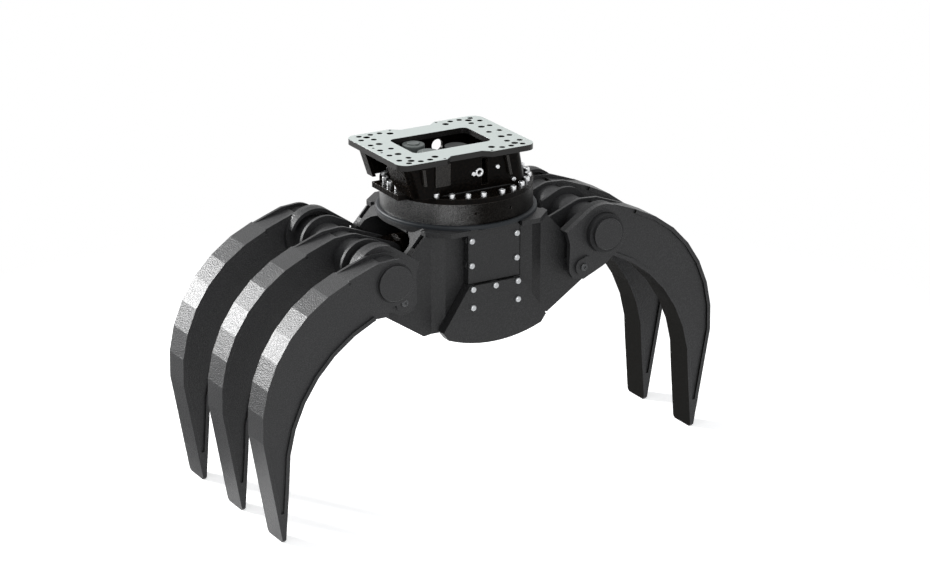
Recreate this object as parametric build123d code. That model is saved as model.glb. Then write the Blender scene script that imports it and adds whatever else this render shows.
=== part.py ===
from build123d import *
from math import acos, atan2, cos, degrees, hypot, pi, radians, sin, tan
import os

# Hydraulic log grapple with five tines, wide open as it stands on its tips, sizes in millimetres.
# It is drawn on the slewing axis: x along the jaws' spread, y across them, z up from the tips.
# It is saved about the centre of the adapter plate's top face.

# Driving sizes of the whole grapple
hinge_x = 387.0               # jaw hinge, from the slewing axis
hinge_z = 789.0               # and from the tips
hub_reach = 92.0              # jaw torsion tube, outwards and up from the hinge
hub_rise = 122.0
eye_back = 72.0               # cylinder pin on the crank arm, inwards and up from the hinge
eye_rise = 100.0
deck_rise = 229.0             # top of the deck above the hinges
gear_module = 6.0             # slewing ring's internal gear
gear_teeth = 70
race_wall = 40.0              # geared ring from its pitch circle to the rollers' circle
race_depth = 38.0             # rollers' circle inside the slewing ring's outer face
ring_height = 87.0
ring_lift = 6.0               # outer ring stands clear of the deck
base_flange_plate = 21.0      # flange bolted to the slewing ring
housing_height = 128.0        # adapter's walls
plate_thick = 22.0
plate_shift = 68.0            # adapter plate's centre lies this far to the left of the slewing axis
tine_pitch = 330.0            # between neighbouring tines of the left jaw
tine_width = 120.0
overrun = 40.0                # cuts run this far past their faces
run_gap = 0.05                # radial play of a pin in its bush
side_gap = 0.5                # play beside a turning face
arc_steps = 12                # facets of a rounded outline

# Places that follow from them
race_radius = gear_module * gear_teeth / 2 + race_wall
ring_radius = race_radius + race_depth
hub_x = hinge_x + hub_reach
hub_z = hinge_z + hub_rise
eye_x = hinge_x - eye_back
eye_z = hinge_z + eye_rise
deck_top = hinge_z + deck_rise
ring_low = deck_top + ring_lift
ring_high = ring_low + ring_height
seat_high = ring_high + base_flange_plate
plate_under = seat_high + housing_height
overall_height = plate_under + plate_thick

# Frame of the body
frame_plate = 30.0
wing_half = 221.0             # outer faces of the wings, from the middle plane
wing_inner = wing_half - frame_plate
centre_half = 240.0           # outer faces of the flat middle, which stands proud of the wings
bend_x = 187.0                # where the middle turns back
wing_x = 236.0                # where it reaches the wings
deck_plate = 18.0
deck_edge = 4.0               # deck's front edge stands this far outside the ring
deck_half = ring_radius + deck_edge
shoulder_x = 247.0            # upper edge of the slanted shoulder
shoulder_drop = 83.0          # height and reach of the slanted shoulder
shoulder_reach = 76.0
shoulder_plate = 20.0
shoulder_strip = 42.0         # plate left above the opening for the jaw's arms
shoulder_leg = 21.0           # plate left beside that opening
arm_opening = 236.0           # width of the opening at its top edge
ear_radius = 7.0              # relief at its upper corners
weld_groove = 23.0            # groove in the wing's slanted edge beside the shoulder plate
weld_depth = 12.0
belly_x = 268.0               # lower corner of the frame, inwards and below the hinge
belly_drop = 177.0
toe_reach = 38.0              # outer corner under the hinge
toe_drop = 73.0
boss_radius = 46.0
boss_proud = 6.0
belly_rise_x = 180.0          # the lower edge rises a little to here
belly_rise = 12.0
belly_plate = 16.0
belly_stop = 25.0             # rising plates end this far inside the toes
cross_x = 250.0               # cross plates inside the frame
cross_plate = 20.0
cross_rise = 11.0             # their top above the hinge
deck_front_x = 190.0          # deck's straight front edge ends here
deck_side_x = 262.0
deck_side_y = 225.0
deck_port_radius = 42.0       # hose openings in the deck
deck_port_circle = 118.0
deck_port_count = 6

# Corners of the frame that follow
under_deck = deck_top - deck_plate
belly_z = hinge_z - belly_drop
toe_x = hinge_x + toe_reach
toe_z = hinge_z - toe_drop

# Hinge pins, bushes and lugs
pin_radius = 30.0
bush_wall = 6.0
lug_plate = 22.0
lug_gap = 35.0                # between the wings and the outer lugs
lug_face = wing_half + lug_gap + lug_plate
lug_radius = 52.0             # lug around the pin
lug_corner_back = 69.0        # inner upper corner of the lug, inwards and up from the pin
lug_corner_rise = 143.0
hub_radius = 108.0            # lug around the torsion tube
keeper_plate = 10.0
keeper_radius = 34.0
keeper_tail = 25.0
keeper_tail_radius = 20.0
keeper_bolt = 8.0             # thread radius
keeper_head_radius = 14.0

# Torsion tube and crank arms
tube_radius = 75.0
tube_wall = 16.0
tube_groove = 5.0             # weld groove round the tube's end
wrap_radius = 88.0            # tines' side plates around the tube
rib_radius = 100.0            # ribs around the tube
cap_radius = 67.5
tube_proud = 25.0             # right jaw's tube beyond its lugs
right_cap_radius = 61.0
cap_proud = 14.0
rib_plate = 15.0
rib_y = 157.0                 # ribs of the left jaw
rib_clear = 60.0              # ribs stop this far from the cylinder pin
arm_radius = 50.0
web_plate = 12.0              # strip along the lug's upper edge and over the tube
web_end = 20.0                # angle at which it ends

# Tines: flanges bent from flat facets, angles in degrees below level
tine_plate = 12.0
tine_edge = 8.0               # flanges stand out past the side plates
flange_plate = 15.0
outer_start = 275.0           # start of the outer flange's even bends, from the tube
outer_drop = 2.0
outer_first = 35.5
outer_turn = 10.7
outer_facet = 101.0
outer_facets = 6
inner_start = 80.0            # start of the inner flange, outwards and below the tube
inner_drop = 125.0
inner_first = 27.0
inner_turn = 9.9
inner_facet = 100.0
inner_facets = 7
tip_reach = 467.0             # tips, outwards from the tube
tip_depth = 13.0
tip_chamfer = 10.0            # corners of the chisel edge

# Closing cylinder, retracted
bore_radius = 47.5
barrel_radius = 57.0
rod_radius = 27.5
eye_pin_radius = 27.0
eye_radius = 46.0
eye_width = 75.0
base_thick = 20.0             # barrel's closed end
piston_length = 50.0
piston_start = 2.0            # piston stands off the closed end when retracted
gland_length = 50.0
gland_lip = 8.0
gland_lip_radius = 54.0
barrel_length = 480.0         # from the barrel's pin to the gland's face
barrel_start = 54.0           # from the barrel's pin to its closed end
slide_gap = 0.3               # piston in bore, rod in gland
pin_head_radius = 34.0
pin_head = 8.0

# Slewing ring, gear and drive
race_gap = 1.5                # between the two rings
roller_radius = 8.0
roller_gap = 0.3
roller_count = 24
gear_drop = 6.0               # geared ring ends this far below the outer ring
gear_high = ring_high - gear_drop
gear_clearance = 2.5          # root depth below one module
gear_addendum = 4.8           # shortened teeth of the internal gear
pressure_angle = 20.0
pinion_teeth = 16
tooth_play = 1.2              # tooth flanks stand this far apart
motor_step = 4                # motors stand this many teeth either side of the left
motor_radius = 42.5
motor_flange_radius = 55.0
motor_flange = 14.0
motor_drop = 11.0             # motors end this far below the adapter plate's top
motor_neck = 73.0             # gearbox ends this far above the base flange
motor_shoulder = 5.0
motor_cap = 20.0
motor_disc = 5.0              # raised middle of the cap
motor_disc_radius = 24.0
pinion_lift = 18.0            # pinion above the deck
pinion_drop = 7.0             # and below the top of the gear
shaft_radius = 20.0
shaft_reach = 20.0            # shaft runs this far into the gearbox
bolt_inset = 19.0             # bolt circle inside the ring's outer face
bolt_circle = ring_radius - bolt_inset
bolt_count = 28
bolt_middle = 16.8            # degrees between the two middle bolts at front and back
ring_bolt_radius = 8.0
ring_bolt_depth = 40.0
ring_head_radius = 12.0
ring_head = 16.0
head_room = 2.0               # reliefs in the walls over the heads
collar_width = 14.0
collar_height = 14.0
collar_gap = 1.0
nipple_angles = [-106.0, -76.5, 74.0, 103.5]
nipple_share = 0.59           # grease points at this share of the ring's height
nipple_hole = 6.0
nipple_radius = 4.0
nipple_depth = 12.0
nipple_head = 8.0

# Adapter plate with its hole patterns, spacings from its centre
plate_length = 577.0
plate_width = 436.0
plate_corner = 42.0
window_length = 332.0
window_width = 200.0
window_corner = 24.0
recess_depth = 26.0           # middle of the plate's long edges
recess_half = 66.0
recess_slope = 30.0
bolt_hole = 11.0
wide_hole = 13.0
small_hole = 5.0
end_row = 256.0
corner_row = 241.0
second_row = 210.0
third_row = 192.0
fourth_row = 153.0
edge_line = 191.0
outer_line_y = 145.0
middle_line = 131.0
inner_line_y = 72.0
wide_row = 220.0
wide_row_inner = 120.0
wide_line = 169.0
small_row = 100.0
small_line = 206.0
left_row = 264.0
left_line = 37.0
left_line_low = 27.0

# Adapter's base and walls, which lean: distances from the slewing axis
base_left = 305.0
base_left_half = 100.0
base_flat = 258.0             # the round flange is cut off at the left, beside the tab
housing_wall = 14.0
housing_half = 190.0
housing_left_top = 318.0
housing_left_low = 276.0
housing_right_top = 176.0
housing_right_low = 200.0
housing_corner = 40.0
corner_split = 44.0           # end walls stop this far short of the front and rear walls' faces
wall_split = housing_half - corner_split
side_front = 20.0             # the left end is open from here to the rear wall
port_x = 19.0                 # hose opening in the rear wall
port_drop = 58.0              # its centre below the adapter plate
port_radius = 24.0
slot_x = 11.0                 # upright slot in the front wall
slot_width = 26.0
slot_lift = 18.0
slot_drop = 8.0

# Rotary union and its stub ports
union_radius = 44.0
union_flange_radius = 62.0
union_flange = 12.0
union_drop = 32.0             # union ends this far below the adapter plate's top
union_roof = 15.0
spindle_radius = 30.0
spindle_flange_radius = 60.0
spindle_flange = 12.0
union_port_count = 3
union_port_lift = 28.0        # lowest stub port above the base flange
union_port_pitch = 28.0
union_port_radius = 9.0
union_port_length = 26.0

# Ribs, pad and fittings on the adapter's front wall; shares of the wall's half width and height
rib_width = 10.0
rib_proud = 14.0
rib_shares = [(-1.36, 0.91, -1.32, 0.42), (0.505, 0.94, 0.59, 0.33)]
pad_proud = 6.0
pad_shares = (-1.05, -0.73, 0.31, 0.96)
wall_fitting_radius = 9.0
wall_fitting_length = 13.0
wall_fitting_shares = [(0.32, 0.63), (0.69, 0.16), (-0.22, 0.53)]
wall_port_radius = 16.0
wall_port_bore = 9.0
wall_port_length = 8.0
wall_port_share = (-0.085, 0.55)

# Covers over the frame's middle
cover_plate = 12.0
cover_proud = 37.0            # cover's face in front of the frame's middle
guard_proud = 11.0            # guard's face in front of the cover's
cover_half = 110.0
cover_lift = 17.0             # lower edge of the cover above the hinges
cover_drop = 3.0              # upper edge below the deck's top
cover_chamfer = 12.0
cover_play = 2.0              # between the upper cover and the deck's notch
cover_slot = 6.0              # gap left along its upper edge
cover_slot_shares = (-0.61, 0.45)
guard_gap = 6.0               # between cover and guard
guard_half = 222.0
guard_side = 22.0             # guard's side corners above the frame's lower edge
guard_low_half = 200.0
guard_low_drop = 8.0
guard_sag = 38.0              # depth of the guard's rounded lower edge
frame_bar = 34.0              # bars of the frame that the cover is bolted to
cover_bolt_x = 96.5
cover_bolt_drop = 43.0
cover_bolt_lift = 70.0
guard_bolt_drop = 13.0
guard_bolt_lift = 103.0
cover_bolt_radius = 8.0
cover_head_radius = 12.0
cover_head = 9.0
cover_stand = 7.0             # rims end this far from the frame
cover_pad_radius = 18.0
cover_window_lift = 44.0      # openings in the frame behind the covers
cover_window_drop = 60.0
guard_window_lift = 53.0
guard_window_drop = 40.0

# Heights and faces of the covers that follow
cover_face = centre_half + cover_proud
guard_face = cover_face + guard_proud
cover_low = hinge_z + cover_lift
cover_high = deck_top - cover_drop
guard_top = cover_low - guard_gap
cover_bolt_heights = [cover_high - cover_bolt_drop, cover_low + cover_bolt_lift]
guard_bolt_heights = [guard_top - guard_bolt_drop, belly_z + guard_bolt_lift]

# Shares: the shoulder's opening and groove, a tooth's flank, the side plates' rounded root,
# the inner end of the flange between them and the lug's edge below the pin, counted in radii
# of the side plates' wrap and of the lug
shoulder_shares = [0.31, 0.24, 0.86]
groove_share = 0.71
flank_shares = [0.0, 0.35, 0.7, 1.0]
root_shares = [(0.784, 0.943), (1.511, 0.682), (2.114, 0.455)]
recess_share = (0.466, 0.841)
lug_shares = [(-1.06, 1.85), (-1.12, -0.21), (-0.81, -0.79), (0.13, -1.0), (1.73, -0.29), (2.13, -0.08)]


def save(node, *solids):
    """Write one node about the adapter plate's centre."""
    placed = [Pos(plate_shift, 0, -overall_height) * solid for solid in solids]
    shape = placed[0] if len(placed) == 1 else Compound(children=placed)
    export_step(shape, "parts/" + node + ".step")


def flat(outline, low, high):
    """Plate with an outline of x, z points between two y planes."""
    wire = Polyline([(x, 0, z) for x, z in outline], close=True)
    return extrude(Pos(0, low, 0) * make_face(wire), amount=high - low, dir=(0, 1, 0))


def level(outline, low, high):
    """Plate with an outline of x, y points between two z planes."""
    wire = Polyline([(x, y, 0) for x, y in outline], close=True)
    return extrude(Pos(0, 0, low) * make_face(wire), amount=high - low, dir=(0, 0, 1))


def rod_y(x, z, radius, low, high):
    """Round bar along y."""
    return Pos(x, (low + high) / 2, z) * Rot(90, 0, 0) * Cylinder(radius, high - low)


def rod_x(y, z, radius, low, high):
    """Round bar along x."""
    return Pos((low + high) / 2, y, z) * Rot(0, 90, 0) * Cylinder(radius, high - low)


def rod_z(x, y, radius, low, high):
    """Round bar along z."""
    return Pos(x, y, (low + high) / 2) * Cylinder(radius, high - low)


def block(x_low, x_high, y_low, y_high, z_low, z_high):
    middle = ((x_low + x_high) / 2, (y_low + y_high) / 2, (z_low + z_high) / 2)
    return Pos(*middle) * Box(x_high - x_low, y_high - y_low, z_high - z_low)


def flip_x(shape):
    return mirror(shape, about=Plane.YZ)


def flip_y(shape):
    return mirror(shape, about=Plane.XZ)


def band(side, inner, outer):
    """The two y planes of a plate on one side of the middle plane, low first."""
    return sorted((side * inner, side * outer))


def chain(x, z, first, turn, length, count):
    """Points of a bent flange, each facet steeper than the last."""
    points = [(x, z)]
    for step in range(count):
        angle = radians(first + turn * step)
        x, z = x + length * cos(angle), z - length * sin(angle)
        points.append((x, z))
    return points


def shifted(points, depth):
    """The same bent line moved square to itself, mitred at each bend."""
    headings = [atan2(b[1] - a[1], b[0] - a[0]) for a, b in zip(points, points[1:])]
    moved = []
    for index, (x, z) in enumerate(points):
        first = headings[max(index - 1, 0)]
        last = headings[min(index, len(headings) - 1)]
        middle = (first + last) / 2
        reach = depth / cos((last - first) / 2)
        moved.append((x - reach * sin(middle), z + reach * cos(middle)))
    return moved


def arc_points(x, z, radius, first, last, steps):
    """Points on an arc, angles in degrees from level."""
    angles = [radians(first + (last - first) * step / steps) for step in range(steps + 1)]
    return [(x + radius * cos(a), z + radius * sin(a)) for a in angles]


def touch_angle(x, z, radius):
    """Angle in degrees where a line from a point at x, z from a circle's centre touches it, above."""
    return degrees(atan2(z, x)) + degrees(acos(radius / hypot(x, z)))


# Bent lines of a tine in its own plane, from root to tip
tip_x = hub_x + tip_reach
root_points = [(x * wrap_radius, z * wrap_radius) for x, z in root_shares]
root_turn = radians(touch_angle(*root_points[0], wrap_radius))
root_points.insert(0, (wrap_radius * cos(root_turn), wrap_radius * sin(root_turn)))
root_line = [(hub_x + x, hub_z + z) for x, z in root_points]
outer_line = root_line[-1:] + chain(hub_x + outer_start, hub_z - outer_drop, outer_first, outer_turn,
                                    outer_facet, outer_facets) + [(tip_x + tip_depth / 2, 0)]
recess_x, recess_z = [share * wrap_radius for share in recess_share]
recess_line = [(hub_x + recess_x, hub_z + recess_z), root_line[-1]]
inner_line = chain(hub_x + inner_start, hub_z - inner_drop, inner_first, inner_turn,
                   inner_facet, inner_facets) + [(tip_x - tip_depth / 2, 0)]


def at_height(line, z):
    """The x where a tine line's last run crosses a height."""
    (x_high, z_high), (x_low, z_low) = line[-2], line[-1]
    return x_low + (x_high - x_low) * (z - z_low) / (z_high - z_low)


# Solid tip: it starts where the two flanges meet
taper = (at_height(outer_line, flange_plate) - at_height(inner_line, flange_plate)
         - tip_depth) / flange_plate
tip_top = (flange_plate * 2 + tine_plate - tip_depth) / taper


def tine_flange(line, depth, y_mid):
    """Bent strip over the full width of the tine, down to its solid tip."""
    strip = flat(line + shifted(line, depth)[::-1], y_mid - tine_width / 2, y_mid + tine_width / 2)
    return strip - block(hub_x, tip_x + hub_x, y_mid - tine_width, y_mid + tine_width,
                         -overrun, tip_top)


def outer_flange(y_mid):
    """Outer flange: near the tube it lies recessed between the side plates and ends on the tube."""
    half = tine_width / 2 - tine_edge - tine_plate
    recessed = flat(recess_line + shifted(recess_line, -flange_plate)[::-1], y_mid - half, y_mid + half)
    recessed -= rod_y(hub_x, hub_z, tube_radius, y_mid - tine_width, y_mid + tine_width)
    return tine_flange(outer_line, -flange_plate, y_mid) + recessed


def tine_tip(y_mid):
    """Solid chisel tip between and in line with the flanges."""
    outline = [(tip_x - tip_depth / 2, 0), (tip_x + tip_depth / 2, 0),
               (at_height(outer_line, tip_top), tip_top), (at_height(inner_line, tip_top), tip_top)]
    tip = flat(outline, y_mid - tine_width / 2, y_mid + tine_width / 2)
    corners = [edge for edge in tip.edges().filter_by(Axis.X) if edge.center().Z < tip_chamfer]
    return chamfer(corners, tip_chamfer)


def tine_web(y_mid, side):
    """Side plate of a tine: it wraps the torsion tube and narrows to the tip."""
    low, high = band(side, 0, tine_plate)
    near = y_mid + side * (tine_width / 2 - tine_edge - tine_plate) + low
    far = near + high - low
    heel = (hub_x + inner_start / 3, hub_z - inner_drop)
    outline = root_line[:-1] + outer_line[:-1] + [(at_height(outer_line, tip_top), tip_top),
                                                  (at_height(inner_line, tip_top), tip_top)]
    outline += inner_line[:-1][::-1] + [heel, (hub_x, hub_z)]
    web = flat(outline, near, far) + rod_y(hub_x, hub_z, wrap_radius, near, far)
    web -= rod_y(hub_x, hub_z, tube_radius, near - overrun, far + overrun)
    web -= flat(outer_line + shifted(outer_line, -flange_plate)[::-1], near - overrun, far + overrun)
    web -= flat(inner_line + shifted(inner_line, flange_plate)[::-1], near - overrun, far + overrun)
    return max(web.solids(), key=lambda solid: solid.volume)


def rib(y_mid, thick, wrap):
    """Plate that wraps the tube and runs on inwards to the cylinder's pin."""
    near, far = y_mid - thick / 2, y_mid + thick / 2
    tilt = degrees(atan2(hub_z - eye_z, hub_x - eye_x))
    lean = degrees(atan2(wrap - arm_radius, hypot(hub_x - eye_x, hub_z - eye_z)))
    top, low = radians(90 + tilt + lean), radians(270 + tilt - lean)
    outline = [(hub_x + wrap * cos(top), hub_z + wrap * sin(top)),
               (eye_x + arm_radius * cos(top), eye_z + arm_radius * sin(top)),
               (eye_x + arm_radius * cos(low), eye_z + arm_radius * sin(low)),
               (hub_x + wrap * cos(low), hub_z + wrap * sin(low))]
    plate = flat(outline, near, far) + rod_y(hub_x, hub_z, wrap, near, far)
    plate += rod_y(eye_x, eye_z, arm_radius, near, far)
    plate -= rod_y(hub_x, hub_z, tube_radius, near - overrun, far + overrun)
    return plate


def lug_outline():
    """Outer lug: its edge below the pin, then round the tube and back to a corner at the shoulder."""
    corner = (-hub_reach - lug_corner_back, lug_corner_rise - hub_rise)
    edge = [(hinge_x + x * lug_radius, hinge_z + z * lug_radius) for x, z in lug_shares]
    last_x, last_z = edge[-1]
    low = touch_angle(hub_x - last_x, hub_z - last_z, hub_radius) - 180
    high = 180 - touch_angle(-corner[0], corner[1], hub_radius)
    around = arc_points(hub_x, hub_z, hub_radius, low, high, arc_steps * 2)
    return edge + around + [(hub_x + corner[0], hub_z + corner[1])]


def outer_lug(side):
    low, high = band(side, lug_face - lug_plate, lug_face)
    lug = flat(lug_outline(), low, high)
    lug -= rod_y(hub_x, hub_z, tube_radius, low - overrun, high + overrun)
    groove = band(side, lug_face - tube_groove, lug_face + overrun)
    lug -= rod_y(hub_x, hub_z, tube_radius + tube_groove, *groove)
    boss_low = wing_half + boss_proud + side_gap
    lug += rod_y(hinge_x, hinge_z, boss_radius - bush_wall, *band(side, boss_low, lug_face))
    return lug - rod_y(hinge_x, hinge_z, pin_radius, low - overrun, high + overrun)


def inner_lug(side):
    """Lug inside the frame, a straight link between the pin and the tube."""
    outer = wing_inner - side_gap
    low, high = band(side, outer - lug_plate, outer)
    across = atan2(hub_z - hinge_z, hub_x - hinge_x) + pi / 2
    side_x, side_z = cos(across), sin(across)
    outline = [(hinge_x + lug_radius * side_x, hinge_z + lug_radius * side_z),
               (hinge_x - lug_radius * side_x, hinge_z - lug_radius * side_z),
               (hub_x - tube_radius * side_x, hub_z - tube_radius * side_z),
               (hub_x + tube_radius * side_x, hub_z + tube_radius * side_z)]
    lug = flat(outline, low, high) + rod_y(hinge_x, hinge_z, lug_radius, low, high)
    lug -= rod_y(hub_x, hub_z, tube_radius, low - overrun, high + overrun)
    return lug - rod_y(hinge_x, hinge_z, pin_radius, low - overrun, high + overrun)


def lug_web(side):
    """Strip along the outer lug's upper edge that runs on over the torsion tube."""
    outline = lug_outline()
    corner, touch = outline[-1], outline[-2]
    start = degrees(atan2(touch[1] - hub_z, touch[0] - hub_x))
    path = [corner] + arc_points(hub_x, hub_z, hub_radius, start, web_end, arc_steps)
    low, high = band(side, tine_pitch / 2 + tine_width / 2, lug_face - lug_plate)
    return flat(path + shifted(path, -web_plate)[::-1], low, high)


def hinge_pin(side):
    outer = lug_face
    inner = wing_inner - side_gap - lug_plate
    pin = rod_y(hinge_x, hinge_z, pin_radius, *band(side, inner, outer))
    return pin - rod_y(hinge_x, hinge_z, keeper_bolt, *band(side, outer - lug_plate * 2, outer + overrun))


def keeper(side):
    """Oblong flag that holds the pin, pointing at the tube."""
    low, high = band(side, lug_face, lug_face + keeper_plate)
    angle = atan2(hub_z - hinge_z, hub_x - hinge_x)
    tail_x, tail_z = hinge_x + keeper_tail * cos(angle), hinge_z + keeper_tail * sin(angle)
    lean = angle + pi / 2
    outline = [(hinge_x + keeper_radius * cos(lean), hinge_z + keeper_radius * sin(lean)),
               (hinge_x - keeper_radius * cos(lean), hinge_z - keeper_radius * sin(lean)),
               (tail_x - keeper_tail_radius * cos(lean), tail_z - keeper_tail_radius * sin(lean)),
               (tail_x + keeper_tail_radius * cos(lean), tail_z + keeper_tail_radius * sin(lean))]
    flag = flat(outline, low, high) + rod_y(hinge_x, hinge_z, keeper_radius, low, high)
    flag += rod_y(tail_x, tail_z, keeper_tail_radius, low, high)
    return flag - rod_y(hinge_x, hinge_z, keeper_bolt, low - overrun, high + overrun)


def socket_bolt_y(x, z, face, side, radius, head_radius, head, shank):
    """Socket-head bolt along y with its head on a face."""
    low, high = band(side, face, face + head)
    bolt = rod_y(x, z, head_radius, low, high)
    rim = bolt.edges().filter_by(GeomType.CIRCLE).sort_by(Axis.Y)[-1 if side > 0 else 0]
    bolt = chamfer(rim, head / 4)
    bolt += rod_y(x, z, radius, *band(side, face - shank, face))
    socket = extrude(Plane((x, side * (face + head), z), z_dir=(0, side, 0))
                     * RegularPolygon(head_radius / 2, 6), amount=-head / 2)
    return bolt - socket


def torsion_tube(half):
    tube = rod_y(hub_x, hub_z, tube_radius, -half, half)
    return tube - rod_y(hub_x, hub_z, tube_radius - tube_wall, -half, half)


def tube_cap(half, radius, side):
    """Disc welded into the tube's end, proud of it."""
    low, high = band(side, half, half + cap_proud)
    cap = rod_y(hub_x, hub_z, radius, low, high)
    rim = cap.edges().filter_by(GeomType.CIRCLE).sort_by(Axis.Y)[-1 if side > 0 else 0]
    cap = fillet(rim, cap_proud / 5)
    spigot = tube_radius - tube_wall
    return cap + rod_y(hub_x, hub_z, spigot, *band(side, half - tube_wall, half))


def crank_boss(low, high):
    """Sleeve between a wide-set arm and the rod's eye."""
    boss = rod_y(eye_x, eye_z, eye_radius, low, high)
    return boss - rod_y(eye_x, eye_z, eye_pin_radius, low - overrun, high + overrun)


def cylinder_pin(half):
    """Pin through the crank arms with a round head at each end."""
    pin = rod_y(eye_x, eye_z, eye_pin_radius, -half, half)
    for side in (-1, 1):
        pin += rod_y(eye_x, eye_z, pin_head_radius, *band(side, half, half + pin_head))
    return pin


def arm_web(y_mid, side):
    """Side plate of a tine that runs on as a crank arm."""
    near = y_mid + side * (tine_width / 2 - tine_edge) - (tine_plate if side > 0 else 0)
    plate = tine_web(y_mid, side) + rib(near + tine_plate / 2, tine_plate, wrap_radius)
    plate -= tine_flange(outer_line, -flange_plate, y_mid)
    return plate - rod_y(eye_x, eye_z, eye_pin_radius, near - overrun, near + overrun)


def short_rib(y_mid):
    """Rib around the tube that stops short of the cylinder's pin."""
    reach = eye_x + rib_clear
    return rib(y_mid, rib_plate, rib_radius) - block(0, reach, y_mid - overrun, y_mid + overrun, 0, overall_height)


def save_jaw(name, place, tines, ribs, bosses, tube_half, end_radius, pin_half):
    """One jaw, drawn on the right and placed on its own side."""
    for title, y_mid, arms in tines:
        flanges = [outer_flange(y_mid), tine_flange(inner_line, flange_plate, y_mid)]
        flanges = [flange - outer_lug(-1) - outer_lug(1) for flange in flanges]
        webs = [arm_web(y_mid, side) if side in arms else tine_web(y_mid, side) for side in (-1, 1)]
        save(name + "_" + title + "_tine_flanges", *[place(flange) for flange in flanges])
        save(name + "_" + title + "_tine_side_plates", *[place(web) for web in webs])
    save(name + "_tine_tips", *[place(tine_tip(y_mid)) for title, y_mid, arms in tines])
    save(name + "_torsion_tube", place(torsion_tube(tube_half)))
    save(name + "_tube_caps", *[place(tube_cap(tube_half, end_radius, side)) for side in (-1, 1)])
    lugs = [lug(side) for lug in (outer_lug, inner_lug) for side in (-1, 1)]
    save(name + "_lugs", *[place(lug) for lug in lugs])
    stays = [lug_web(side) for side in (-1, 1)] + [short_rib(y_mid) for y_mid in ribs] + bosses
    save(name + "_ribs", *[place(stay) for stay in stays])
    save(name + "_hinge_pins", *[place(hinge_pin(side)) for side in (-1, 1)])
    save(name + "_keepers", *[place(keeper(side)) for side in (-1, 1)])
    save(name + "_keeper_bolts", *[place(keeper_screw(side)) for side in (-1, 1)])
    save(name + "_cylinder_pin", place(cylinder_pin(pin_half)))


def keeper_screw(side):
    return socket_bolt_y(hinge_x, hinge_z, lug_face + keeper_plate, side, keeper_bolt,
                         keeper_head_radius, keeper_bolt, lug_plate * 2 + keeper_plate)


def save_jaws():
    """Left jaw with three tines, right jaw with two that pass between them."""
    left_tines = [("front", -tine_pitch, ()), ("middle", 0, (-1, 1)), ("rear", tine_pitch, ())]
    right_tines = [("front", -tine_pitch / 2, (1,)), ("rear", tine_pitch / 2, (-1,))]
    arm_face = tine_width / 2 - tine_edge
    save_jaw("left_jaw", flip_x, left_tines, (-rib_y, rib_y), [], tine_pitch + arm_face, cap_radius,
             arm_face)
    arm_out = tine_pitch / 2 - arm_face + tine_plate
    boss_end = arm_out - tine_plate
    bosses = [crank_boss(*band(side, eye_width / 2 + side_gap * 2, boss_end)) for side in (-1, 1)]
    save_jaw("right_jaw", lambda shape: shape, right_tines, (0,), bosses, lug_face + tube_proud,
             right_cap_radius, arm_out)


def cylinder_parts():
    """Horizontal closing cylinder between the two jaws' crank arms."""
    pin_at = -eye_x
    start = pin_at + barrel_start
    bore_start = start + base_thick
    mouth = pin_at + barrel_length
    barrel = rod_x(0, eye_z, barrel_radius, start, mouth)
    eye = rod_y(pin_at, eye_z, eye_radius, -eye_width / 2, eye_width / 2)
    eye += block(pin_at, start, -eye_width / 2, eye_width / 2, eye_z - eye_radius, eye_z + eye_radius)
    barrel += eye
    barrel -= rod_y(pin_at, eye_z, eye_pin_radius + run_gap, -eye_width, eye_width)
    barrel -= rod_x(0, eye_z, bore_radius, bore_start, mouth + overrun)
    gland = rod_x(0, eye_z, bore_radius, mouth - gland_length, mouth)
    gland += rod_x(0, eye_z, gland_lip_radius, mouth, mouth + gland_lip)
    gland -= rod_x(0, eye_z, rod_radius + slide_gap, mouth - overrun * 2, mouth + overrun)
    piston_at = bore_start + piston_start
    piston = rod_x(0, eye_z, bore_radius - slide_gap, piston_at, piston_at + piston_length)
    rod_start = piston_at + piston_length / 2
    piston -= rod_x(0, eye_z, rod_radius, rod_start, piston_at + piston_length + overrun)
    rod = rod_x(0, eye_z, rod_radius, rod_start, eye_x)
    head = rod_y(eye_x, eye_z, eye_radius, -eye_width / 2, eye_width / 2)
    rod = rod + head - rod_y(eye_x, eye_z, eye_pin_radius + run_gap, -eye_width, eye_width)
    save("cylinder_barrel", barrel)
    save("cylinder_gland", gland)
    save("cylinder_piston", piston)
    save("cylinder_rod", rod)


def frame_outline():
    """Outline of the frame's front and rear plates, right half mirrored to the left."""
    top = (shoulder_x + deck_plate * shoulder_reach / shoulder_drop, under_deck)
    corner = (shoulder_x + shoulder_reach, deck_top - shoulder_drop)
    boss = arc_points(hinge_x, hinge_z, boss_radius, 60, -25, arc_steps // 2)
    right = [top, corner] + boss + [(toe_x, toe_z), (belly_x, belly_z),
                                    (belly_rise_x, belly_z + belly_rise)]
    return right + [(-x, z) for x, z in right[::-1]]


def frame_side():
    """Front plate: flat middle, bent back at both sides to the wings."""
    face = [(-toe_x * 2, -wing_half), (-wing_x, -wing_half), (-bend_x, -centre_half),
            (bend_x, -centre_half), (wing_x, -wing_half), (toe_x * 2, -wing_half)]
    plate = level(face + shifted(face, frame_plate)[::-1], 0, deck_top)
    plate = plate & flat(frame_outline(), -deck_half, 0)
    for side in (-1, 1):
        boss = rod_y(side * hinge_x, hinge_z, boss_radius, -wing_half - boss_proud, -wing_half)
        plate += boss
        plate -= rod_y(side * hinge_x, hinge_z, pin_radius + bush_wall, -deck_half, 0)
        plate -= edge_groove(side)
    half = cover_half - frame_bar
    plate -= block(-half, half, -deck_half, 0, cover_low + cover_window_lift, cover_high - cover_window_drop)
    plate -= block(-half, half, -deck_half, 0, belly_z + guard_window_lift, guard_top - guard_window_drop)
    for x, z in cover_points() + guard_points():
        plate -= rod_y(x, z, cover_bolt_radius, -deck_half, 0)
    return plate


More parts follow.
